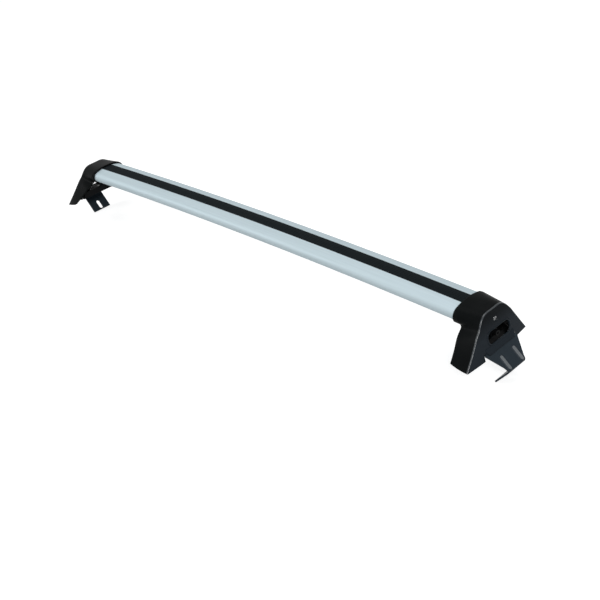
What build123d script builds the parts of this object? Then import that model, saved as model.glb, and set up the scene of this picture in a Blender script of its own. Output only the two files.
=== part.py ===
# Roof rack crossbar: an arched aluminium bar between two clamped feet.
# Millimetres, +X along the bar to the right foot, -Y to the front, +Z up.
# The origin is the middle of the bar's groove; foot sizes are measured outwards
# from the collar rim and downwards from the bar's crown at that rim.
import math
import os

from build123d import *

# Bar
collar_span = 1004.0
bow_rise = 8.57
bar_width = 75.0
bar_height = 30.0
nose_r = 11.0
bar_wall = 2.0
bar_inside = 16.0
land_drop = 0.8

# Groove along the top, with its rubber strip
strip_width = 26.4
recess_depth = 3.0
lip_thick = 2.0
mouth_width = 11.0
groove_width = 21.0
groove_height = 6.5
strip_inside = 12.0
strip_gap = 0.15
anchor_width = 16.0
anchor_height = 3.0
rib_pitch = 4.0
rib_count = 5
rib_groove_r = 0.6

# Screw port in the extrusion
port_r = 2.05
port_wall = 2.15
port_sink = 0.7
port_slot = 2.4

# Foot cover
collar_wall = 3.2
collar_gap = 0.4
collar_depth = 27.1
body_step = 0.3
collar_overlap = 1.0
cover_wall = 3.0
sleeve_run = 12.0
bar_end_gap = 0.5
inner_x = 2.5
inner_lean = 20.7
neck_knee_half = 36.9
neck_front_slope = 1.27
neck_rear_slope = 0.88
end_face_x = 49.9
end_lean = 11.2
end_bulge = 4.0
end_spare = 3.0
end_top_depth = 0.5
end_knee_half = 47.3
end_slope = 0.84
end_rear_slope = 0.6
shoulder_r = 24.0
end_edge_r = 2.6
foot_half = 86.7
block_depth = 100.0
base_depth = 64.0
base_slope = 14.0
base_roll = 1.5
sill_half = 40.0
sill_lip_half = 33.0
window_width = 62.0
window_height = 24.8
window_depth = 43.4
window_shift = 2.5
window_r = 9.0

# Clamp plate, its slope measured from level
sheet = 3.0
lip_x = 66.4
bend_under = 2.4
fold_x = 95.8
fold_depth = 94.0
flange_length = 42.7
flange_angle = 48.0
clamp_bend_r = 4.5
clamp_bolt_depth = 44.8
tab_x = 50.0
tab_half = 7.5
tab_over = 1.5
fold_corner_r = 5.0
lip_half = 40.5
bend_half = 34.0
fold_half = 24.0
flange_half = 22.0
slip_gap = 0.8
side_gap = 1.5
slot_width = 8.5
slot_length = 21.0
slot_from_tip = 2.2
press_rib_y = 16.5
press_rib_length = 21.0
press_rib_r = 6.0
press_rib_rise = 2.0
press_rib_centre = 0.57

# Support bracket
strap = 4.0
strap_width = 14.0
strap_x = 36.0
strap_top_half = 27.0
strap_knee_half = 48.0
strap_foot_half = 59.0
strap_bend_r = 6.0
tongue_x = -6.0
tongue_half = 12.0
sole = 2.5
sole_start = 33.5
sole_end = 44.0
sole_lip = 14.0
sole_lip_half = 52.5
web_thick = 4.0
web_half = 11.0
seat_gap = 0.05

# Pads
pad_inner_half = 43.0
pad_start = 45.0
pad_end = 56.0
pad_thin = 4.0
pad_proud = 0.3

# Fasteners
bolt_r = 3.0
thread_gap = 0.05
hole_gap = 0.4
head_r = 5.0
head_height = 6.0
socket_across = 5.0
socket_depth = 3.0
washer_r = 6.0
washer_thick = 1.6
nut_across = 10.0
nut_height = 5.0
clamp_bolt_length = 26.0
bar_bolt_r = 2.5
bar_bolt_across = 8.0
bar_bolt_head = 3.5
bar_bolt_first = 0.5
bar_bolt_pitch = 10.5
bar_washer_r = 5.0
bar_washer_thick = 1.2
nut_plate_thick = 4.5
nut_plate_length = 22.0
nut_plate_gap = 0.3
screw_r = 2.0
screw_head_r = 4.0
screw_head_height = 2.4
screw_grip = 10.0
screw_sink = 2.2
screw_slot = 0.9
screw_slot_length = 4.4
screw_slot_depth = 1.4
boss_r = 4.6

# Sizes that follow from those above
half_span = collar_span / 2
bow_r = (half_span**2 + bow_rise**2) / (2 * bow_rise)
half_height = bar_height / 2
nose_y = bar_width / 2 - nose_r
crown_drop = (nose_y**2 - (half_height - nose_r) ** 2) / (2 * (half_height - nose_r))
crown_r = half_height + crown_drop
crown_angle = math.degrees(math.atan2(nose_y, crown_drop))
land_depth = bar_height - land_drop
bow_axis = Axis((0, 0, recess_depth - bow_r), (0, 1, 0))
crown_z = recess_depth


def crown_at(x):
    return math.sqrt(bow_r**2 - x**2) - bow_r + crown_z


rim_z = crown_at(half_span)


def level(depth):
    return rim_z - depth


def across_bar(x):
    # Plane square to the bar at x, with its origin on the crown
    turn = math.asin(x / bow_r)
    return Plane(
        origin=(x, 0, crown_at(x)),
        x_dir=(0, 1, 0),
        z_dir=(math.cos(turn), 0, -math.sin(turn)),
    )


def under_bar(x, depth):
    # Plane under the bar at x, facing up into it
    square = across_bar(x)
    return Plane(
        origin=square.from_local_coords((0, -depth, 0)),
        x_dir=(0, 1, 0),
        z_dir=square.y_dir,
    )


def oval(grow):
    # Flat oval of the bar, grown all round, with the bar's crown at the origin
    side_turn = 90 - crown_angle
    with BuildLine() as outline:
        CenterArc((0, -crown_r), crown_r + grow, side_turn, 2 * crown_angle)
        CenterArc((-nose_y, -half_height), nose_r + grow, 180 - side_turn, 2 * side_turn)
        CenterArc((0, crown_drop - half_height), crown_r + grow, 180 + side_turn, 2 * crown_angle)
        CenterArc((nose_y, -half_height), nose_r + grow, -side_turn, 2 * side_turn)
    make_face(outline.edges())


def slab(half_width, top, bottom, mode=Mode.ADD):
    with Locations((0, (top + bottom) / 2)):
        Rectangle(2 * half_width, top - bottom, mode=mode)


# Bar extrusion
bar_end = half_span + bar_inside
bar_start = across_bar(-bar_end)
bar_turn = 2 * math.degrees(math.asin(bar_end / bow_r))
groove_top = -recess_depth - lip_thick
groove_floor = groove_top - groove_height
chamber_top = groove_floor - bar_wall
chamber_floor = -land_depth + bar_wall
port_depth = -chamber_top + port_r + port_wall - port_sink

with BuildSketch(bar_start) as side_chambers:
    oval(-bar_wall)
    slab(groove_width / 2 + bar_wall, 0, -bar_height, Mode.SUBTRACT)

with BuildSketch(bar_start) as bar_section:
    oval(0)
    slab(bar_width / 2, -land_depth, -bar_height, Mode.SUBTRACT)
    add(side_chambers.sketch_local, mode=Mode.SUBTRACT)
    slab(groove_width / 2, chamber_top, chamber_floor, Mode.SUBTRACT)
    with Locations((0, -port_depth)):
        Circle(port_r + port_wall)
    slab(strip_width / 2, crown_z, -recess_depth, Mode.SUBTRACT)
    slab(mouth_width / 2, -recess_depth, groove_top, Mode.SUBTRACT)
    slab(groove_width / 2, groove_top, groove_floor, Mode.SUBTRACT)
    with Locations((0, -port_depth)):
        Circle(port_r, mode=Mode.SUBTRACT)
    slab(port_slot / 2, -port_depth, -port_depth - 2 * port_r - port_wall, Mode.SUBTRACT)

bar_bolt_xs = [half_span + bar_bolt_first + i * bar_bolt_pitch for i in range(2)]

with BuildPart() as bar_extrusion:
    revolve(bar_section.sketch, axis=bow_axis, revolution_arc=bar_turn)
    for x in bar_bolt_xs:
        for side in (1, -1):
            with BuildSketch(under_bar(side * x, land_depth)):
                Circle(bar_bolt_r + hole_gap)
            extrude(amount=2 * bar_wall, both=True, mode=Mode.SUBTRACT)

# Rubber strip
strip_end = half_span + strip_inside
strip_turn = 2 * math.degrees(math.asin(strip_end / bow_r))
anchor_top = groove_top - strip_gap

with BuildSketch(across_bar(-strip_end)) as strip_section:
    oval(0)
    slab(strip_width / 2 - strip_gap, 0, -recess_depth, Mode.INTERSECT)
    slab(mouth_width / 2 - strip_gap, -recess_depth, anchor_top)
    slab(anchor_width / 2, anchor_top, anchor_top - anchor_height)
    with GridLocations(rib_pitch, 0, rib_count, 1):
        Circle(rib_groove_r, mode=Mode.SUBTRACT)

with BuildPart() as rubber_strip:
    revolve(strip_section.sketch, axis=bow_axis, revolution_arc=strip_turn)

# Foot cover: straight lines from a leaning outline at the collar to the end face
def slope_plane(x, depth, lean, roll=0.0):
    # Plane across the foot through x and depth, its normal tipped out from +Z
    turn = math.radians(lean)
    tip = math.radians(roll)
    return Plane(
        origin=(half_span + x, 0, level(depth)),
        x_dir=(0, math.cos(tip), math.sin(tip)),
        z_dir=(math.sin(turn), -math.cos(turn) * math.sin(tip), math.cos(turn) * math.cos(tip)),
    )


def foot_plane(x):
    return Plane(origin=(half_span + x, 0, rim_z), x_dir=(0, 1, 0), z_dir=(1, 0, 0))


end_tilt = math.radians(end_lean)
inner_tilt = math.radians(inner_lean)
end_r = (foot_half**2 + end_bulge**2) / (2 * end_bulge)
end_frame = Plane(
    origin=(half_span + end_face_x, 0, rim_z),
    x_dir=(math.cos(end_tilt), 0, math.sin(end_tilt)),
    z_dir=(-math.sin(end_tilt), 0, math.cos(end_tilt)),
)
base_x = inner_x + base_depth * math.tan(inner_tilt)
base_plane = slope_plane(base_x, base_depth, base_slope, base_roll)
inner_plane = slope_plane(inner_x, 0, 90 - inner_lean)
beyond_plane = slope_plane(end_face_x + end_spare, 0, 90 - end_lean)


def end_face_at(depth, y=0.0):
    # Where the bulged end face stands, out from the rim
    return end_face_x + depth * math.tan(end_tilt) - end_r + math.sqrt(end_r**2 - y**2)


def neck_half(leg_slope, inset):
    # Corners and arc middles of half the collar outline, from the leg's foot up
    radius = nose_r + collar_wall + body_step - inset
    crown = crown_r + collar_wall + body_step - inset
    low_turn = -math.degrees(math.asin((collar_depth - half_height) / (nose_r + collar_wall))) / 2
    knee_y = neck_knee_half - inset * math.hypot(1, leg_slope)
    foot_y = knee_y + (block_depth - collar_depth) * leg_slope

    def nose(turn):
        angle = math.radians(turn)
        return (nose_y + radius * math.cos(angle), half_height - radius * math.sin(angle))

    def arch(turn):
        angle = math.radians(turn)
        return (crown * math.sin(angle), crown_r - crown * math.cos(angle))

    top_turn = 90 - crown_angle
    return [
        (foot_y, block_depth),
        (knee_y, collar_depth),
        nose(low_turn),
        nose(0),
        nose(top_turn / 2),
        nose(top_turn),
        arch(crown_angle / 2),
        arch(0),
    ]


def end_half(leg_slope, inset):
    # The same count of points on half the end face's edge
    shift = inset * math.hypot(1, end_slope)
    leg_shift = inset * math.hypot(1, leg_slope)
    lean = math.atan(end_slope)
    radius = shoulder_r - inset
    top = end_top_depth + inset
    bend = top + radius * (1 - math.sin(lean))
    bend_y = end_knee_half - (collar_depth - bend) * end_slope - shift
    middle_y = bend_y - radius * math.cos(lean)

    def shoulder(turn):
        return (middle_y + radius * math.cos(turn), top + radius * (1 - math.sin(turn)))

    knee = (end_knee_half - shift, collar_depth)
    return [
        (end_knee_half + (block_depth - collar_depth) * leg_slope - leg_shift, block_depth),
        knee,
        ((knee[0] + bend_y) / 2, (knee[1] + bend) / 2),
        (bend_y, bend),
        shoulder((lean + math.pi / 2) / 2),
        (middle_y, top),
        (middle_y / 2, top),
        (0.0, top),
    ]


def ruling(neck, edge, plane):
    # Where the line from a collar point through its end point meets a plane
    start = Vector(half_span + inner_x + neck[1] * math.tan(inner_tilt), neck[0], level(neck[1]))
    stop = Vector(half_span + end_face_at(edge[1], edge[0]), edge[0], level(edge[1]))
    near = plane.to_local_coords(start)
    far = plane.to_local_coords(stop)
    share = near.Z / (near.Z - far.Z)
    spot = near + (far - near) * share
    return (spot.X, spot.Y)


leg_shares = (0.0, 0.35, 0.7, 0.9)


def legged(points):
    # The points of half an outline, with some along its straight leg
    foot = Vector(*points[0])
    run = Vector(*points[1]) - foot
    return [foot + run * share for share in leg_shares] + [Vector(*p) for p in points[1:]]


def skin(plane, inset):
    # Closed outline of the cover on a plane that crosses its rulings
    front = zip(neck_half(neck_front_slope, inset), end_half(end_slope, inset))
    rear = zip(neck_half(neck_rear_slope, inset), end_half(end_rear_slope, inset))
    right = [ruling(neck, edge, plane) for neck, edge in rear]
    left = [ruling((-neck[0], neck[1]), (-edge[0], edge[1]), plane) for neck, edge in front]
    with BuildSketch(plane) as face:
        with BuildLine():
            Spline(*legged(right), *reversed(legged(left)[:-1]))
            Line(left[0], right[0])
        make_face()
    return face


def cover_block(inset, start_plane):
    # Block of the cover, drawn in all round and at the bulged end
    with BuildPart() as block:
        neck = skin(start_plane, inset)
        end = skin(beyond_plane, inset)
        loft(sections=[neck.sketch, end.sketch], ruled=True)
        with BuildSketch(end_frame):
            with Locations((-end_r, 0)):
                Circle(end_r - inset)
        extrude(amount=2 * block_depth, both=True, mode=Mode.INTERSECT)
    return block


bend_depth = clamp_bolt_depth + washer_r + bend_under
clamp_slope = math.atan2(fold_depth - bend_depth, fold_x - tab_x)
lip_depth = bend_depth + (lip_x - tab_x) * math.tan(clamp_slope)


def side_point(x, depth):
    # Point in the foot's middle plane, for outlines seen from the front
    return (half_span + x, level(depth))


def slip_depth(x):
    # Depth of the cover's underside just over the clamp plate
    return lip_depth - slip_gap / math.cos(clamp_slope) + (x - lip_x) * math.tan(clamp_slope)


with BuildPart() as collar:
    with BuildSketch(across_bar(half_span - sleeve_run)):
        oval(collar_wall)
    extrude(amount=3 * sleeve_run)
    split(bisect_by=foot_plane(0), keep=Keep.TOP)
    split(bisect_by=inner_plane.offset(collar_overlap), keep=Keep.BOTTOM)
    split(bisect_by=Plane(origin=(0, 0, level(collar_depth))), keep=Keep.TOP)

bar_face = across_bar(bar_end)
port_spot = (0, -port_depth)
port_level = rim_z - bar_face.from_local_coords((0, -port_depth, 0)).Z
screw_seat = end_face_at(port_level) - bar_inside - screw_sink
screw_length = screw_seat + screw_grip
sill_depth = window_depth + window_height / 2
sill_back = end_face_at(sill_depth) - cover_wall

with BuildPart() as sill:
    with BuildSketch(Plane.XZ):
        with BuildLine():
            Polyline(
                side_point(sill_back, sill_depth),
                side_point(end_face_at(sill_depth), sill_depth),
                side_point(lip_x, slip_depth(lip_x)),
                side_point(sill_back, slip_depth(sill_back)),
                close=True,
            )
        make_face()
    extrude(amount=sill_half, both=True)
    with BuildSketch(Plane.XY):
        with BuildLine():
            Polyline(
                (half_span + sill_back, sill_half),
                (half_span + lip_x, sill_lip_half),
                (half_span + lip_x, -sill_lip_half),
                (half_span + sill_back, -sill_half),
                close=True,
            )
        make_face()
    extrude(amount=-block_depth, mode=Mode.INTERSECT)

with BuildPart() as right_foot_cover:
    add(cover_block(0, inner_plane).part)
    split(bisect_by=base_plane, keep=Keep.TOP)
    long_edges = edges().sort_by(SortBy.LENGTH)[-2:]
    fillet(long_edges.sort_by(Axis.X)[-1], end_edge_r)
    add(cover_block(cover_wall, inner_plane.offset(-cover_wall)).part, mode=Mode.SUBTRACT)
    add(collar.part)
    with BuildSketch(across_bar(half_span - sleeve_run)):
        oval(collar_gap)
    extrude(amount=sleeve_run + bar_inside + bar_end_gap, mode=Mode.SUBTRACT)
    add(sill.part)
    with BuildSketch(Plane.XZ):
        with BuildLine():
            Polyline(
                side_point(tab_x, slip_depth(tab_x)),
                side_point(fold_x, slip_depth(fold_x)),
                side_point(tab_x, slip_depth(fold_x)),
                close=True,
            )
        make_face()
    extrude(amount=lip_half + side_gap, both=True, mode=Mode.SUBTRACT)
    with BuildSketch(foot_plane(tab_x)):
        with Locations((window_shift, -window_depth)):
            RectangleRounded(window_width, window_height, window_r)
    extrude(amount=lip_x - tab_x, mode=Mode.SUBTRACT)
    with BuildSketch(bar_face.offset(bar_end_gap)):
        with Locations(port_spot):
            Circle(boss_r)
    extrude(amount=screw_seat - bar_end_gap)
    with BuildSketch(bar_face):
        with Locations(port_spot):
            Circle(screw_r + hole_gap)
    extrude(amount=screw_length, mode=Mode.SUBTRACT)
    with BuildSketch(bar_face.offset(screw_seat)):
        with Locations(port_spot):
            Circle(screw_head_r + hole_gap)
    extrude(amount=screw_length, mode=Mode.SUBTRACT)

with BuildPart() as right_cover_screw:
    with BuildSketch(bar_face.offset(screw_seat)):
        with Locations(port_spot):
            Circle(screw_head_r)
    extrude(amount=screw_head_height)
    with BuildSketch(bar_face.offset(screw_seat)):
        with Locations(port_spot):
            Circle(screw_r)
    extrude(amount=-screw_length)
    with BuildSketch(bar_face.offset(screw_seat + screw_head_height)):
        with Locations(port_spot):
            Rectangle(screw_slot, screw_slot_length)
            Rectangle(screw_slot_length, screw_slot)
    extrude(amount=-screw_slot_depth, mode=Mode.SUBTRACT)

# Clamp plate, cut from one bent sheet
tab_depth = clamp_bolt_depth - washer_r - tab_over
flange_turn = math.radians(flange_angle)
tip_x = fold_x - flange_length * math.cos(flange_turn)
tip_depth = fold_depth + flange_length * math.sin(flange_turn)
outward = (math.cos(clamp_slope), 0, -math.sin(clamp_slope))
plate_top = Plane(
    origin=(half_span + lip_x, 0, level(lip_depth)),
    x_dir=outward,
    z_dir=(math.sin(clamp_slope), 0, math.cos(clamp_slope)),
)
flange_face = Plane(
    origin=(half_span + tip_x, 0, level(tip_depth)),
    x_dir=(math.cos(flange_turn), 0, math.sin(flange_turn)),
    z_dir=(math.sin(flange_turn), 0, -math.cos(flange_turn)),
)
plate_length = math.hypot(fold_x - lip_x, fold_depth - lip_depth)
rib_mid = plate_length * press_rib_centre
rib_turn = (0, 90 + math.degrees(clamp_slope), 0)
rib_spots = [(rib_mid, side * press_rib_y, press_rib_rise - press_rib_r) for side in (1, -1)]

with BuildPart() as clamp_ribs:
    with Locations(*[plate_top.from_local_coords(spot) for spot in rib_spots]):
        Cylinder(press_rib_r, press_rib_length, rotation=rib_turn)
    for end in (-press_rib_length / 2, press_rib_length / 2):
        for spot in rib_spots:
            with Locations(plate_top.from_local_coords((spot[0] + end, spot[1], spot[2]))):
                Sphere(press_rib_r, rotation=rib_turn)
    split(bisect_by=plate_top.offset(-sheet / 2), keep=Keep.TOP)

with BuildPart() as clamp_rib_backs:
    with Locations(*[plate_top.from_local_coords(spot) for spot in rib_spots]):
        Cylinder(press_rib_r - sheet, press_rib_length, rotation=rib_turn)
    for end in (-press_rib_length / 2, press_rib_length / 2):
        for spot in rib_spots:
            with Locations(plate_top.from_local_coords((spot[0] + end, spot[1], spot[2]))):
                Sphere(press_rib_r - sheet, rotation=rib_turn)

with BuildSketch(foot_plane(0)) as clamp_outline:
    with BuildLine():
        Polyline(
            (tab_half, -tab_depth),
            (tab_half, -bend_depth),
            (bend_half, -bend_depth),
            (lip_half, -lip_depth),
            (fold_half, -fold_depth + fold_corner_r),
            (flange_half, -fold_depth),
            (flange_half, -tip_depth - sheet),
            (-flange_half, -tip_depth - sheet),
            (-flange_half, -fold_depth),
            (-fold_half, -fold_depth + fold_corner_r),
            (-lip_half, -lip_depth),
            (-bend_half, -bend_depth),
            (-tab_half, -bend_depth),
            (-tab_half, -tab_depth),
            close=True,
        )
    make_face()

with BuildPart() as right_clamp_plate:
    with BuildSketch(Plane.XZ):
        with BuildLine():
            FilletPolyline(
                side_point(tab_x, tab_depth),
                side_point(tab_x, bend_depth),
                side_point(fold_x, fold_depth),
                side_point(tip_x, tip_depth),
                radius=clamp_bend_r,
            )
            offset(amount=sheet, side=Side.RIGHT)
        make_face()
    extrude(amount=lip_half, both=True)
    extrude(clamp_outline.sketch, amount=fold_x + sheet, mode=Mode.INTERSECT)
    add(clamp_ribs.part)
    add(clamp_rib_backs.part, mode=Mode.SUBTRACT)
    with BuildSketch(flange_face):
        with Locations((slot_from_tip + slot_length / 2, 0)):
            SlotOverall(slot_length, slot_width)
    extrude(amount=2 * sheet, both=True, mode=Mode.SUBTRACT)
    with BuildSketch(foot_plane(0)):
        with Locations((0, -clamp_bolt_depth)):
            Circle(bolt_r + hole_gap)
    extrude(amount=tab_x + sheet, mode=Mode.SUBTRACT)

# Clamp bolt, its washer and its nut
head_x = tab_x + washer_thick
web_x = strap_x - web_thick
bolt_spot = (0, -clamp_bolt_depth)

with BuildPart() as right_clamp_washer:
    with BuildSketch(foot_plane(tab_x)):
        with Locations(bolt_spot):
            Circle(washer_r)
            Circle(bolt_r + hole_gap / 2, mode=Mode.SUBTRACT)
    extrude(amount=washer_thick)

with BuildPart() as right_clamp_bolt:
    with BuildSketch(foot_plane(head_x)):
        with Locations(bolt_spot):
            Circle(head_r)
    extrude(amount=head_height)
    with BuildSketch(foot_plane(head_x)):
        with Locations(bolt_spot):
            Circle(bolt_r)
    extrude(amount=-clamp_bolt_length)
    with BuildSketch(foot_plane(head_x + head_height)):
        with Locations(bolt_spot):
            RegularPolygon(socket_across / 2, 6, major_radius=False)
    extrude(amount=-socket_depth, mode=Mode.SUBTRACT)

with BuildPart() as right_clamp_nut:
    with BuildSketch(foot_plane(web_x)):
        with Locations(bolt_spot):
            RegularPolygon(nut_across / 2, 6, major_radius=False)
            Circle(bolt_r + thread_gap, mode=Mode.SUBTRACT)
    extrude(amount=-nut_height)

# Support bracket under the bar's end
seat_plane = across_bar(half_span + strap_x)
seat_depth = land_depth + seat_gap
pad_outer_half = strap_foot_half
pad_mid = (pad_inner_half + pad_outer_half) / 2
pad_top = base_depth + (pad_start - base_x) * math.tan(math.radians(base_slope)) - pad_thin
strap_foot_depth = pad_top - sole - strap

with BuildPart() as right_support_bracket:
    with BuildSketch(seat_plane):
        with BuildLine():
            FilletPolyline(
                (strap_foot_half, -strap_foot_depth),
                (strap_knee_half, -strap_foot_depth),
                (strap_top_half, -seat_depth),
                (-strap_top_half, -seat_depth),
                (-strap_knee_half, -strap_foot_depth),
                (-strap_foot_half, -strap_foot_depth),
                radius=strap_bend_r,
            )
            offset(amount=strap, side=Side.LEFT)
        make_face()
    extrude(amount=strap_width)
    with BuildSketch(seat_plane):
        slab(tongue_half, -seat_depth, -seat_depth - strap)
    extrude(amount=tongue_x - strap_x)
    with BuildSketch(seat_plane.offset(sole_start - strap_x)):
        slab(strap_foot_half, sole - pad_top, -pad_top)
    extrude(amount=sole_end - sole_start)
    with BuildSketch(seat_plane.offset(sole_start - strap_x)):
        with BuildLine():
            Polyline(
                (strap_foot_half, -pad_top),
                (sole_lip_half, sole_lip - pad_top),
                (-sole_lip_half, sole_lip - pad_top),
                (-strap_foot_half, -pad_top),
                close=True,
            )
        make_face()
    extrude(amount=strap_x - sole_start)
    with BuildSketch(seat_plane):
        with Locations((pad_mid, sole / 2 - pad_top), (-pad_mid, sole / 2 - pad_top)):
            Rectangle(pad_outer_half - pad_inner_half, sole)
    extrude(amount=pad_end - strap_x)
    with BuildSketch(foot_plane(web_x)):
        slab(web_half, -seat_depth - strap / 2, -clamp_bolt_depth - washer_r)
        with Locations(bolt_spot):
            Circle(bolt_r + hole_gap, mode=Mode.SUBTRACT)
    extrude(amount=web_thick)
    for x in bar_bolt_xs:
        with BuildSketch(under_bar(x, seat_depth + strap / 2)):
            Circle(bar_bolt_r + hole_gap)
        extrude(amount=strap, both=True, mode=Mode.SUBTRACT)

# Bolts between the bracket and the bar
head_depth = seat_depth + strap + bar_washer_thick
nut_plate_depth = -chamber_floor - seat_gap
plate_mid = bar_bolt_xs[0] + bar_bolt_pitch / 2

with BuildPart() as right_bar_bolts:
    for x in bar_bolt_xs:
        with BuildSketch(under_bar(x, head_depth)):
            RegularPolygon(bar_bolt_across / 2, 6, major_radius=False)
        extrude(amount=-bar_bolt_head)
        with BuildSketch(under_bar(x, head_depth)):
            Circle(bar_bolt_r)
        extrude(amount=head_depth - nut_plate_depth + nut_plate_thick)

with BuildPart() as right_bar_washers:
    for x in bar_bolt_xs:
        with BuildSketch(under_bar(x, head_depth)):
            Circle(bar_washer_r)
            Circle(bar_bolt_r + hole_gap / 2, mode=Mode.SUBTRACT)
        extrude(amount=bar_washer_thick)

with BuildPart() as right_nut_plate:
    with BuildSketch(under_bar(plate_mid, nut_plate_depth)):
        Rectangle(groove_width - 2 * nut_plate_gap, nut_plate_length)
    extrude(amount=nut_plate_thick)
    for x in bar_bolt_xs:
        with BuildSketch(under_bar(x, nut_plate_depth)):
            Circle(bar_bolt_r + thread_gap)
        extrude(amount=2 * nut_plate_thick, both=True, mode=Mode.SUBTRACT)

# Rubber pads
pads = {}
for end, side in (("front", -1), ("rear", 1)):
    with BuildPart() as pad:
        with BuildSketch(seat_plane.offset(pad_start - strap_x)):
            with Locations((side * pad_mid, -pad_top - base_depth / 2)):
                Rectangle(pad_outer_half - pad_inner_half, base_depth)
        extrude(amount=pad_end - pad_start)
        split(bisect_by=base_plane.offset(-pad_proud), keep=Keep.TOP)
    pads[end] = pad

os.makedirs("parts", exist_ok=True)
feet = {
    "foot_cover": right_foot_cover,
    "cover_screw": right_cover_screw,
    "clamp_plate": right_clamp_plate,
    "clamp_washer": right_clamp_washer,
    "clamp_bolt": right_clamp_bolt,
    "clamp_nut": right_clamp_nut,
    "support_bracket": right_support_bracket,
    "bar_bolts": right_bar_bolts,
    "bar_washers": right_bar_washers,
    "nut_plate": right_nut_plate,
    "front_pad": pads["front"],
    "rear_pad": pads["rear"],
}
for name, piece in feet.items():
    piece.part.label = "right_" + name
    export_step(piece.part, "parts/right_" + name + ".step")
    with BuildPart() as mirrored:
        mirror(piece.part, about=Plane.YZ)
    mirrored.part.label = "left_" + name
    export_step(mirrored.part, "parts/left_" + name + ".step")

bar_extrusion.part.label = "bar_extrusion"
export_step(bar_extrusion.part, "parts/bar_extrusion.step")
rubber_strip.part.label = "rubber_strip"
export_step(rubber_strip.part, "parts/rubber_strip.step")
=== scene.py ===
import math

import bmesh
import bpy
from mathutils import Matrix, Vector


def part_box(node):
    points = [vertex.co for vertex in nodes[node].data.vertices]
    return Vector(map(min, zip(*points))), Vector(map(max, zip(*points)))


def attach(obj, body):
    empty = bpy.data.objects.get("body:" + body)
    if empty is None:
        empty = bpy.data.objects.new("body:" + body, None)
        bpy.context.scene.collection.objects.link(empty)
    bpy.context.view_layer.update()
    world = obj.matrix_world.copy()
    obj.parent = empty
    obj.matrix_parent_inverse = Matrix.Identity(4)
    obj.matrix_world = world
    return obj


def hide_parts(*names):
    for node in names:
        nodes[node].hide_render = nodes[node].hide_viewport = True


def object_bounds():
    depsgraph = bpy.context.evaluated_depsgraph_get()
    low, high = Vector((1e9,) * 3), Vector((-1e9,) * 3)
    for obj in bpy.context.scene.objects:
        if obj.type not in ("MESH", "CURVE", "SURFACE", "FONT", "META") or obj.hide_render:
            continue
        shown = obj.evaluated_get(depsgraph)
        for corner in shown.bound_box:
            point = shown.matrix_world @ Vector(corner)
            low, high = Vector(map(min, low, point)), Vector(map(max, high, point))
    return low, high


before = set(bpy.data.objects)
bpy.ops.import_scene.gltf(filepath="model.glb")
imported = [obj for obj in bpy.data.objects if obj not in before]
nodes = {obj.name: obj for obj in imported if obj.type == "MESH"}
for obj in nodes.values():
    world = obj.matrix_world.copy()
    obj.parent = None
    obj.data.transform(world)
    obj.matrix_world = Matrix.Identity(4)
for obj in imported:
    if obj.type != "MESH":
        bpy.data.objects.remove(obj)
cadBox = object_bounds()
print("frame loaded", len(nodes), "nodes")

# A colour Mix node names several sockets alike, so they go by number
mixSockets = dict(factor=0, first=6, second=7, result=2)


# Node helpers
def addNode(tree, kind, **settings):
    node = tree.nodes.new(kind)
    for key, value in settings.items():
        setattr(node, key, value)
    return node


def feed(tree, node, **values):
    # Links or sets sockets by name, with _ for a space, and gives the first output
    for label, value in values.items():
        socket = node.inputs[label.replace("_", " ")]
        if hasattr(value, "is_linked"):
            tree.links.new(value, socket)
        else:
            socket.default_value = value
    return node.outputs[0]


def mathNode(tree, operation, first, second=None):
    node = addNode(tree, "ShaderNodeMath", operation=operation)
    for index, value in enumerate((first, second)):
        if value is None:
            continue
        if isinstance(value, (int, float)):
            node.inputs[index].default_value = value
        else:
            tree.links.new(value, node.inputs[index])
    return node.outputs[0]


def vectorNode(tree, operation, first, second):
    node = addNode(tree, "ShaderNodeVectorMath", operation=operation)
    tree.links.new(first, node.inputs[0])
    tree.links.new(second, node.inputs[1])
    return node.outputs


def mixColour(tree, factor, first, second):
    node = addNode(tree, "ShaderNodeMix", data_type="RGBA")
    for label, value in dict(factor=factor, first=first, second=second).items():
        socket = node.inputs[mixSockets[label]]
        if hasattr(value, "is_linked"):
            tree.links.new(value, socket)
        else:
            socket.default_value = (*value, 1)
    return node.outputs[mixSockets["result"]]


def newTree(treeKind, name, inputs, outputs):
    tree = bpy.data.node_groups.new(name, treeKind)
    for way, sockets in (("INPUT", inputs), ("OUTPUT", outputs)):
        for label, kind in sockets.items():
            tree.interface.new_socket(label, in_out=way, socket_type="NodeSocket" + kind)
    enter = addNode(tree, "NodeGroupInput").outputs
    leave = addNode(tree, "NodeGroupOutput").inputs
    return tree, enter, leave


def objectPlace(tree):
    return addNode(tree, "ShaderNodeTexCoord").outputs["Object"]


# Shared effects
effects = dict(fineDetail=3, slowDetail=4, bevelSamples=6, edgeGain=4.0, reliefDepth=0.0001)


def makeGrain():
    # Fine relief and slow unevenness of a moulded, coated or drawn surface
    inputs = dict(scale="Float", stretch="Vector", patchScale="Float")
    outputs = dict(height="Float", patch="Float")
    tree, enter, leave = newTree("ShaderNodeTree", "surfaceGrain", inputs, outputs)
    pulled = vectorNode(tree, "MULTIPLY", objectPlace(tree), enter["stretch"])[0]
    fine = addNode(tree, "ShaderNodeTexNoise")
    feed(tree, fine, Vector=pulled, Scale=enter["scale"], Detail=effects["fineDetail"])
    slow = addNode(tree, "ShaderNodeTexNoise")
    feed(tree, slow, Vector=pulled, Scale=enter["patchScale"], Detail=effects["slowDetail"])
    tree.links.new(fine.outputs[0], leave["height"])
    tree.links.new(slow.outputs[0], leave["patch"])
    return tree


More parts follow.
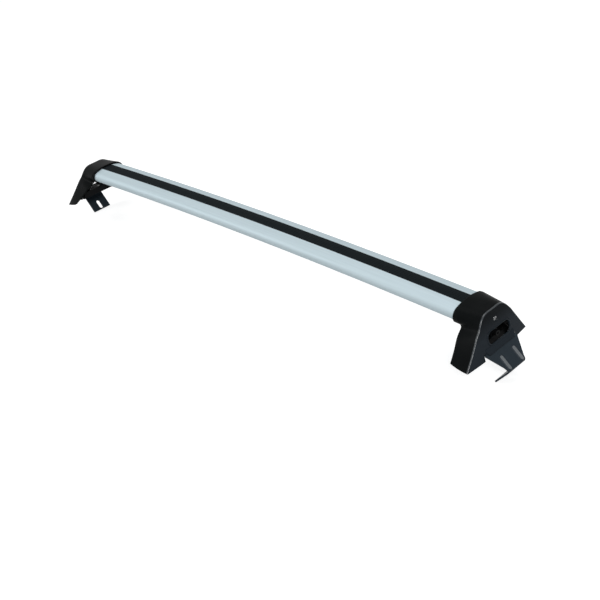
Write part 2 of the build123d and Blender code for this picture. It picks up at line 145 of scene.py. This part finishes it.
def makeEdge():
    # Rounded normal at the edges, and how near a point is to one
    inputs = dict(radius="Float")
    outputs = dict(normal="Vector", edge="Float")
    tree, enter, leave = newTree("ShaderNodeTree", "softEdge", inputs, outputs)
    bevel = addNode(tree, "ShaderNodeBevel", samples=effects["bevelSamples"])
    rounded = feed(tree, bevel, Radius=enter["radius"])
    flat = addNode(tree, "ShaderNodeNewGeometry").outputs["Normal"]
    alike = vectorNode(tree, "DOT_PRODUCT", rounded, flat)["Value"]
    near = mathNode(tree, "SUBTRACT", 1.0, alike)
    strong = mathNode(tree, "MULTIPLY", near, effects["edgeGain"])
    clipped = feed(tree, addNode(tree, "ShaderNodeClamp"), Value=strong)
    tree.links.new(rounded, leave["normal"])
    tree.links.new(clipped, leave["edge"])
    return tree


def makeFaceHeight():
    # How far a point stands out from a leaning, slightly bulged face of a foot
    inputs = dict(faceX="Float", faceZ="Float", outward="Float", upward="Float", bulge="Float")
    tree, enter, leave = newTree("ShaderNodeTree", "faceHeight", inputs, dict(height="Float"))
    split = addNode(tree, "ShaderNodeSeparateXYZ")
    feed(tree, split, Vector=objectPlace(tree))
    x, y, z = split.outputs
    alongX = mathNode(tree, "SUBTRACT", mathNode(tree, "ABSOLUTE", x), enter["faceX"])
    alongZ = mathNode(tree, "SUBTRACT", z, enter["faceZ"])
    outPart = mathNode(tree, "MULTIPLY", alongX, enter["outward"])
    upPart = mathNode(tree, "MULTIPLY", alongZ, enter["upward"])
    bow = mathNode(tree, "MULTIPLY", mathNode(tree, "POWER", y, 2.0), enter["bulge"])
    height = mathNode(tree, "ADD", mathNode(tree, "ADD", outPart, upPart), bow)
    tree.links.new(height, leave["height"])
    return tree


grainGroup = makeGrain()
edgeGroup = makeEdge()
heightGroup = makeFaceHeight()
print("shared effects made")

# Faces of the right foot that looks and shapes are measured from; the left foot mirrors them
coverFace = dict(x=0.5519, z=-0.00557, lean=11.2, bulge=0.531)
clampFace = dict(x=0.5684, z=-0.07338, lean=48.3, bulge=0.0)
coverInside = dict(x=0.5606, z=0.0, lean=0.0, bulge=0.0)

finishes = {
    "barAluminium": dict(
        low=(0.405, 0.492, 0.528), high=(0.525, 0.617, 0.655), worn=(0.56, 0.64, 0.68), wear=0.15,
        metallic=0.25, rough=(0.46, 0.62), grain=900.0, stretch=(0.012, 1.0, 1.0), patch=280.0,
        relief=0.06, edge=0.0004, specular=0.2,
    ),
    "stripRubber": dict(
        low=(0.0043, 0.0068, 0.0081), high=(0.0072, 0.0100, 0.0115), worn=(0.016, 0.019, 0.021),
        wear=0.2, metallic=0.0, rough=(0.66, 0.82), grain=2600.0, stretch=(0.4, 1.0, 1.0), patch=40.0,
        relief=0.20, edge=0.0003, specular=0.05,
    ),
    "coverPlastic": dict(
        low=(0.0034, 0.0041, 0.0042), high=(0.0053, 0.0061, 0.0063), worn=(0.020, 0.022, 0.024),
        wear=0.25, metallic=0.0, rough=(0.30, 0.42), grain=1100.0, stretch=(1.0, 1.0, 1.0), patch=45.0,
        relief=0.55, edge=0.0010, specular=0.020, coatRough=0.26,
        polish=dict(face=coverFace, start=-0.0027, end=-0.0003, beyond=0.10),
        # The paler band colour along the end face's edge is a painted highlight
        bandTone=(0.0105, 0.0150, 0.0200), faceTone=(0.0125, 0.0180, 0.0240),
        # The paler, bluish face colour is a painted sheen, strongest towards the face's foot
        fade=(-0.016, -0.046), fadeLeast=0.20,
    ),
    "clampCoat": dict(
        low=(0.0185, 0.0270, 0.0345), high=(0.0255, 0.0345, 0.0435), worn=(0.05, 0.058, 0.066), wear=0.3,
        metallic=0.0, rough=(0.28, 0.38), grain=700.0, stretch=(1.0, 1.0, 1.0), patch=60.0,
        relief=0.45, edge=0.0008, specular=0.07, coatRough=0.36,
        polish=dict(face=clampFace, start=0.0013, end=0.0040, beyond=0.0),
        # The paler band colour on the rib crests is a painted highlight
        bandTone=(0.092, 0.104, 0.112), shadedTone=(0.0018, 0.0021, 0.0023),
    # The dark tone is painted shade on the clamp's part inside the cover
    ),
    "bracketSteel": dict(
        low=(0.0032, 0.0036, 0.0040), high=(0.0054, 0.0058, 0.0062), worn=(0.02, 0.02, 0.02), wear=0.3,
        metallic=0.0, rough=(0.40, 0.55), grain=1500.0, stretch=(1.0, 1.0, 1.0), patch=70.0,
        relief=0.2, edge=0.0005, specular=0.05,
    ),
    "zincSteel": dict(
        low=(0.24, 0.25, 0.26), high=(0.34, 0.35, 0.36), worn=(0.50, 0.51, 0.52), wear=0.4,
        metallic=1.0, rough=(0.28, 0.42), grain=2400.0, stretch=(1.0, 1.0, 1.0), patch=160.0,
        relief=0.1, edge=0.0003, specular=0.5,
    ),
    "screwSteel": dict(
        low=(0.12, 0.122, 0.125), high=(0.24, 0.242, 0.245), worn=(0.60, 0.60, 0.60), wear=0.5,
        metallic=1.0, rough=(0.18, 0.26), grain=2400.0, stretch=(1.0, 1.0, 1.0), patch=160.0,
        relief=0.1, edge=0.0004, specular=0.5,
    ),
    "blackOxide": dict(
        low=(0.0026, 0.0027, 0.0030), high=(0.0046, 0.0048, 0.0052), worn=(0.02, 0.02, 0.02), wear=0.3,
        metallic=0.0, rough=(0.34, 0.48), grain=2400.0, stretch=(1.0, 1.0, 1.0), patch=160.0,
        relief=0.1, edge=0.0003, specular=0.06,
    ),
    "padRubber": dict(
        low=(0.0060, 0.0062, 0.0066), high=(0.011, 0.011, 0.012), worn=(0.03, 0.03, 0.03), wear=0.3,
        metallic=0.0, rough=(0.72, 0.88), grain=1800.0, stretch=(1.0, 1.0, 1.0), patch=80.0,
        relief=0.35, edge=0.0006, specular=0.08,
    ),
}


def faceHeightNode(tree, face):
    # Places the shared face height with one face's own numbers
    lean = math.radians(face["lean"])
    height = addNode(tree, "ShaderNodeGroup", node_tree=heightGroup)
    return feed(
        tree, height, faceX=face["x"], faceZ=face["z"], bulge=face["bulge"],
        outward=math.cos(lean), upward=math.sin(lean),
    )


def lowDown(tree, look):
    # Rises from its least value to 1 between two heights of the end face, setting how strongly the
    # painted sheen shows there
    split = addNode(tree, "ShaderNodeSeparateXYZ")
    feed(tree, split, Vector=objectPlace(tree))
    top, bottom = look["fade"]
    ramp = addNode(tree, "ShaderNodeMapRange")
    return feed(
        tree, ramp, Value=split.outputs["Z"], From_Min=top, From_Max=bottom, To_Min=look["fadeLeast"],
    )


def glossAndPaintedLight(tree, shader, look, tone):
    # A glossier band at one height over a face, such as an edge or the crest of a rib, coloured paler
    # there as a painted highlight
    band = look["polish"]
    height = faceHeightNode(tree, band["face"])
    above = mathNode(tree, "GREATER_THAN", height, band["start"])
    below = mathNode(tree, "LESS_THAN", height, band["end"])
    inBand = mathNode(tree, "MULTIPLY", above, below)
    past = mathNode(tree, "GREATER_THAN", height, band["end"])
    if "shadedTone" in look:
        # The part inside the cover gets a dark painted shade, because the white stage reaches it through
        # the window
        exposed = mathNode(tree, "GREATER_THAN", faceHeightNode(tree, coverInside), 0.0)
        tone = mixColour(tree, exposed, look["shadedTone"], tone)
        inBand = mathNode(tree, "MULTIPLY", inBand, exposed)
    # The end face past the band gets a paler, bluish painted sheen, strongest low down
    if "fade" in look:
        past = mathNode(tree, "MULTIPLY", past, lowDown(tree, look))
        tone = mixColour(tree, past, tone, look["faceTone"])
    gloss = mathNode(tree, "ADD", inBand, mathNode(tree, "MULTIPLY", past, band["beyond"]))
    feed(tree, shader, Coat_Weight=gloss, Coat_Roughness=look["coatRough"])
    # Inside the band the colour turns paler, a painted highlight
    return mixColour(tree, inBand, tone, look["bandTone"])


def makeFinish(name, look):
    material = bpy.data.materials.new(name)
    material.use_nodes = True
    tree = material.node_tree
    shader = tree.nodes["Principled BSDF"]
    grain = addNode(tree, "ShaderNodeGroup", node_tree=grainGroup)
    feed(tree, grain, scale=look["grain"], stretch=look["stretch"], patchScale=look["patch"])
    edge = addNode(tree, "ShaderNodeGroup", node_tree=edgeGroup)
    feed(tree, edge, radius=look["edge"])
    tone = mixColour(tree, grain.outputs["patch"], look["low"], look["high"])
    # Gloss bands, with painted highlight, painted sheen and painted shade where a finish has them
    if "polish" in look:
        tone = glossAndPaintedLight(tree, shader, look, tone)
    rub = mathNode(tree, "MULTIPLY", edge.outputs["edge"], look["wear"])
    smoothest, roughest = look["rough"]
    ramp = addNode(tree, "ShaderNodeMapRange")
    rough = feed(tree, ramp, Value=grain.outputs["patch"], To_Min=smoothest, To_Max=roughest)
    bump = addNode(tree, "ShaderNodeBump")
    relief = feed(
        tree, bump, Strength=look["relief"], Distance=effects["reliefDepth"],
        Height=grain.outputs["height"], Normal=edge.outputs["normal"],
    )
    feed(
        tree, shader, Base_Color=mixColour(tree, rub, tone, look["worn"]), Roughness=rough, Normal=relief,
        Metallic=look["metallic"], Specular_IOR_Level=look["specular"],
    )
    return material


materials = {name: makeFinish(name, look) for name, look in finishes.items()}

pieceFinish = {
    "bar_extrusion": "barAluminium",
    "rubber_strip": "stripRubber",
    "foot_cover": "coverPlastic",
    "cover_screw": "screwSteel",
    "clamp_plate": "clampCoat",
    "clamp_washer": "blackOxide",
    "clamp_bolt": "blackOxide",
    "clamp_nut": "zincSteel",
    "support_bracket": "bracketSteel",
    "bar_bolts": "zincSteel",
    "bar_washers": "zincSteel",
    "nut_plate": "zincSteel",
    "front_pad": "padRubber",
    "rear_pad": "padRubber",
}
for name, piece in nodes.items():
    plain = name.replace("right_", "").replace("left_", "")
    piece.data.materials.clear()
    piece.data.materials.append(materials[pieceFinish[plain]])
    piece.data.polygons.foreach_set("material_index", [0] * len(piece.data.polygons))
print("finishes assigned")


# Shapes that follow a rule, made with Geometry Nodes
def newShape(name, inputs):
    inputs = dict(Geometry="Geometry", **inputs)
    return newTree("GeometryNodeTree", name, inputs, dict(Geometry="Geometry"))


def endShape(tree, leave, geometry, material):
    # Every tree closes the same way, because the export drops instances
    real = feed(tree, addNode(tree, "GeometryNodeRealizeInstances"), Geometry=geometry)
    paint = addNode(tree, "GeometryNodeSetMaterial")
    tree.links.new(feed(tree, paint, Geometry=real, Material=material), leave["Geometry"])


def growPiece(name, tree, sizes, seedMesh=None):
    # Runs a tree once and keeps the result as a plain mesh with outward faces
    seed = bpy.data.objects.new(name + "Seed", seedMesh or bpy.data.meshes.new(name + "Seed"))
    bpy.context.scene.collection.objects.link(seed)
    modifier = seed.modifiers.new(name, "NODES")
    modifier.node_group = tree
    for socket in tree.interface.items_tree:
        if socket.in_out == "INPUT" and socket.name in sizes:
            modifier[socket.identifier] = sizes[socket.name]
    grown = seed.evaluated_get(bpy.context.evaluated_depsgraph_get())
    mesh = bpy.data.meshes.new_from_object(grown)
    seed.modifiers.remove(modifier)
    bpy.data.objects.remove(seed)
    shell = bmesh.new()
    shell.from_mesh(mesh)
    bmesh.ops.recalc_face_normals(shell, faces=shell.faces)
    shell.to_mesh(mesh)
    shell.free()
    piece = bpy.data.objects.new(name, mesh)
    bpy.context.scene.collection.objects.link(piece)
    return piece


def combined(tree, **parts):
    return feed(tree, addNode(tree, "ShaderNodeCombineXYZ"), **parts)


def positionParts(tree):
    split = addNode(tree, "ShaderNodeSeparateXYZ")
    feed(tree, split, Vector=addNode(tree, "GeometryNodeInputPosition").outputs[0])
    return split.outputs


def placed(tree, mesh, spot, euler):
    turn = feed(tree, addNode(tree, "FunctionNodeEulerToRotation"), Euler=euler)
    move = addNode(tree, "GeometryNodeTransform")
    return feed(tree, move, Geometry=mesh, Translation=spot, Rotation=turn)


def cutAway(tree, mesh, cutter):
    cut = addNode(tree, "GeometryNodeMeshBoolean", operation="DIFFERENCE", solver="EXACT")
    tree.links.new(mesh, cut.inputs[0])
    tree.links.new(cutter, cut.inputs[1])
    return cut.outputs[0]


# Rounded moulded edge round each tool window
windowRim = dict(
    middle=(0.0025, 0.0442), half=(0.0310, 0.0132), inset=0.0010, corner=0.0112, sunk=0.0009,
    radius=0.0019, arcSteps=9, ringSides=14,
)


def rimPath():
    points, edges = [], []
    lean = math.radians(coverFace["lean"])
    middleY, middleDepth = windowRim["middle"]
    corner = windowRim["corner"]
    reachY, reachDepth = [size - windowRim["inset"] - corner for size in windowRim["half"]]
    for side in (1, -1):
        first = len(points)
        for quarter, (turnY, turnZ) in enumerate(((1, 1), (-1, 1), (-1, -1), (1, -1))):
            for step in range(windowRim["arcSteps"]):
                angle = math.pi / 2 * (quarter + step / (windowRim["arcSteps"] - 1))
                y = middleY + turnY * reachY + corner * math.cos(angle)
                depth = middleDepth - turnZ * reachDepth - corner * math.sin(angle)
                bow = coverFace["bulge"] * y * y + windowRim["sunk"]
                x = coverFace["x"] + (depth * math.sin(lean) - bow) / math.cos(lean)
                points.append((side * x, y, coverFace["z"] - depth))
        count = len(points) - first
        edges += [(first + i, first + (i + 1) % count) for i in range(count)]
    mesh = bpy.data.meshes.new("rimPath")
    mesh.from_pydata(points, edges, [])
    return mesh


def mouldingTree():
    tree, enter, leave = newShape("moulding", dict(rimRadius="Float"))
    route = feed(tree, addNode(tree, "GeometryNodeMeshToCurve"), Mesh=enter["Geometry"])
    circle = addNode(tree, "GeometryNodeCurvePrimitiveCircle", mode="RADIUS")
    ring = feed(tree, circle, Resolution=windowRim["ringSides"], Radius=enter["rimRadius"])
    swept = feed(tree, addNode(tree, "GeometryNodeCurveToMesh"), Curve=route, Profile_Curve=ring)
    smooth = feed(tree, addNode(tree, "GeometryNodeSetShadeSmooth"), Geometry=swept)
    endShape(tree, leave, smooth, materials["coverPlastic"])
    return tree


windowRims = growPiece("windowRims", mouldingTree(), dict(rimRadius=windowRim["radius"]), rimPath())
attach(windowRims, "crossbar")
print("window rims made", len(windowRims.data.polygons), "faces")

# Socket-head clamp bolts with a ridged head and a cut thread
clampBolt = dict(
    headHeight=0.006, headRings=8, ridges=26, ridgeDepth=0.00028, ridgeShare=0.8,
    rimShare=0.95, rimCut=0.08, socketSides=6, socketAcross=0.005, socketDepth=0.003,
    shankRadius=0.003, shankSides=24, overlap=0.001, plainLength=0.0045,
    pitch=0.001, ringsPerTurn=6.0, threadDepth=0.0005, tipLength=0.0001, tipCut=0.22,
)


def scaled(tree, mesh, factor):
    # Pulls the points of a mesh towards its long axis
    spot = addNode(tree, "GeometryNodeInputPosition").outputs[0]
    drawn = vectorNode(tree, "MULTIPLY", spot, combined(tree, X=factor, Y=factor, Z=1.0))[0]
    return feed(tree, addNode(tree, "GeometryNodeSetPosition"), Geometry=mesh, Position=drawn)


def moved(tree, mesh, up):
    move = addNode(tree, "GeometryNodeTransform")
    return feed(tree, move, Geometry=mesh, Translation=combined(tree, Z=up))


def cylinder(tree, **sizes):
    return feed(tree, addNode(tree, "GeometryNodeMeshCylinder", fill_type="NGON"), **sizes)


def boltHead(tree, radius):
    height = clampBolt["headHeight"]
    halfHead = height / 2
    blank = cylinder(
        tree, Vertices=2 * clampBolt["ridges"], Side_Segments=clampBolt["headRings"],
        Radius=radius, Depth=height,
    )
    along = positionParts(tree)["Z"]
    odd = mathNode(tree, "MODULO", addNode(tree, "GeometryNodeInputIndex").outputs[0], 2.0)
    ridgeEnd = clampBolt["ridgeShare"] * halfHead
    middle = mathNode(tree, "LESS_THAN", mathNode(tree, "ABSOLUTE", along), ridgeEnd)
    dip = mathNode(tree, "DIVIDE", clampBolt["ridgeDepth"], radius)
    ridge = mathNode(tree, "MULTIPLY", mathNode(tree, "MULTIPLY", odd, middle), dip)
    atRim = mathNode(tree, "GREATER_THAN", along, clampBolt["rimShare"] * halfHead)
    rimTop = mathNode(tree, "MULTIPLY", atRim, clampBolt["rimCut"])
    keep = mathNode(tree, "SUBTRACT", mathNode(tree, "SUBTRACT", 1.0, ridge), rimTop)
    ridged = moved(tree, scaled(tree, blank, keep), halfHead)
    socketRadius = clampBolt["socketAcross"] / 2 / math.cos(math.pi / clampBolt["socketSides"])
    socket = cylinder(
        tree, Vertices=clampBolt["socketSides"], Radius=socketRadius, Depth=2 * clampBolt["socketDepth"],
    )
    return cutAway(tree, ridged, moved(tree, socket, height))


def boltShank(tree, length):
    pitch = clampBolt["pitch"]
    whole = mathNode(tree, "ADD", length, clampBolt["overlap"])
    halfShank = mathNode(tree, "MULTIPLY", whole, 0.5)
    rings = mathNode(tree, "DIVIDE", mathNode(tree, "MULTIPLY", whole, clampBolt["ringsPerTurn"]), pitch)
    blank = cylinder(
        tree, Vertices=clampBolt["shankSides"], Side_Segments=rings,
        Radius=clampBolt["shankRadius"], Depth=whole,
    )
    x, y, along = positionParts(tree)
    around = mathNode(tree, "DIVIDE", mathNode(tree, "ARCTAN2", y, x), 2 * math.pi)
    phase = mathNode(tree, "ADD", mathNode(tree, "DIVIDE", along, pitch), around)
    wave = mathNode(tree, "MULTIPLY", mathNode(tree, "PINGPONG", phase, 0.5), 2.0)
    plainEnd = mathNode(tree, "SUBTRACT", halfShank, clampBolt["plainLength"])
    threaded = mathNode(tree, "LESS_THAN", along, plainEnd)
    depth = clampBolt["threadDepth"] / clampBolt["shankRadius"]
    groove = mathNode(tree, "MULTIPLY", mathNode(tree, "MULTIPLY", wave, threaded), depth)
    tipEnd = mathNode(tree, "SUBTRACT", clampBolt["tipLength"], halfShank)
    tip = mathNode(tree, "MULTIPLY", mathNode(tree, "LESS_THAN", along, tipEnd), clampBolt["tipCut"])
    keep = mathNode(tree, "SUBTRACT", mathNode(tree, "SUBTRACT", 1.0, groove), tip)
    drop = mathNode(tree, "SUBTRACT", clampBolt["overlap"], halfShank)
    return moved(tree, scaled(tree, blank, keep), drop)


def boltTree():
    inputs = dict(headRadius="Float", shankLength="Float", place="Vector", facing="Float")
    tree, enter, leave = newShape("socketBolt", inputs)
    both = addNode(tree, "GeometryNodeJoinGeometry")
    for part in (boltHead(tree, enter["headRadius"]), boltShank(tree, enter["shankLength"])):
        tree.links.new(part, both.inputs[0])
    turn = combined(tree, Y=mathNode(tree, "MULTIPLY", enter["facing"], math.pi / 2))
    aimed = placed(tree, both.outputs[0], enter["place"], turn)
    endShape(tree, leave, aimed, materials["blackOxide"])
    return tree


socketBolt = boltTree()
for side, facing in (("right", 1.0), ("left", -1.0)):
    low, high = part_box(side + "_clamp_bolt")
    outer = high[0] if facing > 0 else low[0]
    middleY, middleZ = (low[1] + high[1]) / 2, (low[2] + high[2]) / 2
    boltSizes = dict(
        headRadius=(high[1] - low[1]) / 2, facing=facing,
        shankLength=high[0] - low[0] - clampBolt["headHeight"],
        place=(outer - facing * clampBolt["headHeight"], middleY, middleZ),
    )
    bolt = growPiece(side + "ClampBolt", socketBolt, boltSizes)
    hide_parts(side + "_clamp_bolt")
    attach(bolt, side + "_bolt")
    print(side, "clamp bolt made", len(bolt.data.polygons), "faces")

# Grip grooves across the underside of the rubber pads
padGrip = dict(grooves=4, spacing=0.0030, width=0.0011, depth=0.0007, length=0.030)
padMesh = dict(weld=1e-6, sameFace=0.999)


def padTree():
    inputs = dict(
        grooves="Int", spacing="Float", width="Float", depth="Float", length="Float",
        spot="Vector", lean="Vector",
    )
    tree, enter, leave = newShape("gripPad", inputs)
    gaps = mathNode(tree, "SUBTRACT", enter["grooves"], 1.0)
    span = mathNode(tree, "MULTIPLY", gaps, enter["spacing"])
    line = feed(
        tree, addNode(tree, "GeometryNodeMeshLine", mode="OFFSET"), Count=enter["grooves"],
        Start_Location=combined(tree, Y=mathNode(tree, "MULTIPLY", span, -0.5)),
        Offset=combined(tree, Y=enter["spacing"]),
    )
    twiceDepth = mathNode(tree, "MULTIPLY", enter["depth"], 2.0)
    block = combined(tree, X=enter["length"], Y=enter["width"], Z=twiceDepth)
    cutter = feed(tree, addNode(tree, "GeometryNodeMeshCube"), Size=block)
    row = feed(tree, addNode(tree, "GeometryNodeInstanceOnPoints"), Points=line, Instance=cutter)
    cutters = feed(tree, addNode(tree, "GeometryNodeRealizeInstances"), Geometry=row)
    aimed = placed(tree, cutters, enter["spot"], enter["lean"])
    endShape(tree, leave, cutAway(tree, enter["Geometry"], aimed), materials["padRubber"])
    return tree


def padSeed(node):
    # A welded copy of the plain pad, with the middle and the lean of its underside
    solid = bmesh.new()
    solid.from_mesh(nodes[node].data)
    bmesh.ops.remove_doubles(solid, verts=solid.verts, dist=padMesh["weld"])
    down = min(solid.faces, key=lambda face: face.normal.z).normal.copy()
    under = [face for face in solid.faces if face.normal.dot(down) > padMesh["sameFace"]]
    corners = {vert for face in under for vert in face.verts}
    spot = sum((vert.co for vert in corners), Vector()) / len(corners)
    across = down.cross(Vector((1.0, 0.0, 0.0))).normalized()
    lean = Matrix((across.cross(down), across, down)).transposed().to_euler()
    mesh = bpy.data.meshes.new(node + "Seed")
    solid.to_mesh(mesh)
    solid.free()
    return mesh, tuple(spot), tuple(lean)


gripPad = padTree()
for side in ("right", "left"):
    for end in ("Front", "Rear"):
        node = f"{side}_{end.lower()}_pad"
        plainPad, spot, lean = padSeed(node)
        pad = growPiece(side + end + "Pad", gripPad, dict(**padGrip, spot=spot, lean=lean), plainPad)
        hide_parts(node)
        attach(pad, "crossbar")
        print(side, end, "pad made", len(pad.data.polygons), "faces")


# Stage
def seenDirectly(tree):
    # White for the camera and in reflections, plain for what lights the object
    path = addNode(tree, "ShaderNodeLightPath").outputs
    either = mathNode(tree, "MAXIMUM", path["Is Camera Ray"], path["Is Glossy Ray"])
    return mathNode(tree, "MAXIMUM", either, path["Is Transmission Ray"])


white = (1, 1, 1, 1)
floorLook = dict(reach=6.0, gap=0.0005, tone=(0.45, 0.45, 0.45, 1), rough=0.9, glow=0.78)


def makeFloor():
    reach = floorLook["reach"]
    level = cadBox[0][2] - floorLook["gap"]
    corners = [(-reach, -reach), (reach, -reach), (reach, reach), (-reach, reach)]
    mesh = bpy.data.meshes.new("floor")
    mesh.from_pydata([(x, y, level) for x, y in corners], [], [(0, 1, 2, 3)])
    paint = bpy.data.materials.new("floorPaint")
    paint.use_nodes = True
    tree = paint.node_tree
    feed(
        tree, tree.nodes["Principled BSDF"], Base_Color=floorLook["tone"], Roughness=floorLook["rough"],
        Specular_IOR_Level=0.0, Emission_Color=white,
        Emission_Strength=mathNode(tree, "MULTIPLY", seenDirectly(tree), floorLook["glow"]),
    )
    mesh.materials.append(paint)
    plane = bpy.data.objects.new("floor", mesh)
    bpy.context.scene.collection.objects.link(plane)
    return plane


floor = makeFloor()

# Light
surroundings = dict(
    lighting=dict(Color=(0.94, 0.98, 1.0, 1), Strength=0.30),
    backdrop=dict(Color=white, Strength=1.0),
)
lamps = {
    "overhead": dict(at=(0.0, 0.3, 2.8), to=(0.0, 0.0, 0.0), size=(2.4, 1.6), power=30.0),
    "keySide": dict(at=(2.5, -1.9, 2.2), to=(0.2, 0.0, 0.0), size=(0.9, 0.7), power=56.0),
    "frontFill": dict(at=(-2.2, -2.1, 1.6), to=(-0.6, 0.0, 0.0), size=(1.6, 1.0), power=36.0),
}


def makeWorld():
    world = bpy.data.worlds.new("studio")
    world.use_nodes = True
    tree = world.node_tree
    tree.nodes.clear()
    blend = addNode(tree, "ShaderNodeMixShader")
    tree.links.new(seenDirectly(tree), blend.inputs[0])
    for index, name in enumerate(("lighting", "backdrop"), start=1):
        glow = feed(tree, addNode(tree, "ShaderNodeBackground"), **surroundings[name])
        tree.links.new(glow, blend.inputs[index])
    leave = addNode(tree, "ShaderNodeOutputWorld").inputs
    tree.links.new(blend.outputs[0], leave["Surface"])
    return world


def makeLamp(name, lamp):
    light = bpy.data.lights.new(name, "AREA")
    light.shape = "RECTANGLE"
    light.size, light.size_y = lamp["size"]
    light.energy = lamp["power"]
    holder = bpy.data.objects.new(name, light)
    aim = Vector(lamp["to"]) - Vector(lamp["at"])
    holder.rotation_euler = aim.to_track_quat("-Z", "Y").to_euler()
    holder.location = lamp["at"]
    bpy.context.scene.collection.objects.link(holder)


bpy.context.scene.world = makeWorld()
for name, lamp in lamps.items():
    makeLamp(name, lamp)

# Camera, as fitted to the photograph
shot = dict(
    sensor=36.0, lens=60.682,
    place=(
        (0.702256, -0.297731, 0.646678, 1.36642),
        (0.701146, 0.446699, -0.555746, -1.09568),
        (-0.123408, 0.843692, 0.522450, 0.87686),
        (0.0, 0.0, 0.0, 1.0),
    ),
)
lens = bpy.data.cameras.new("camera")
lens.sensor_width = shot["sensor"]
lens.lens = shot["lens"]
camera = bpy.data.objects.new("camera", lens)
camera.matrix_world = Matrix(shot["place"])
bpy.context.scene.collection.objects.link(camera)
bpy.context.scene.camera = camera
bpy.context.scene.view_settings.view_transform = "Standard"
print("stage, light and camera placed")
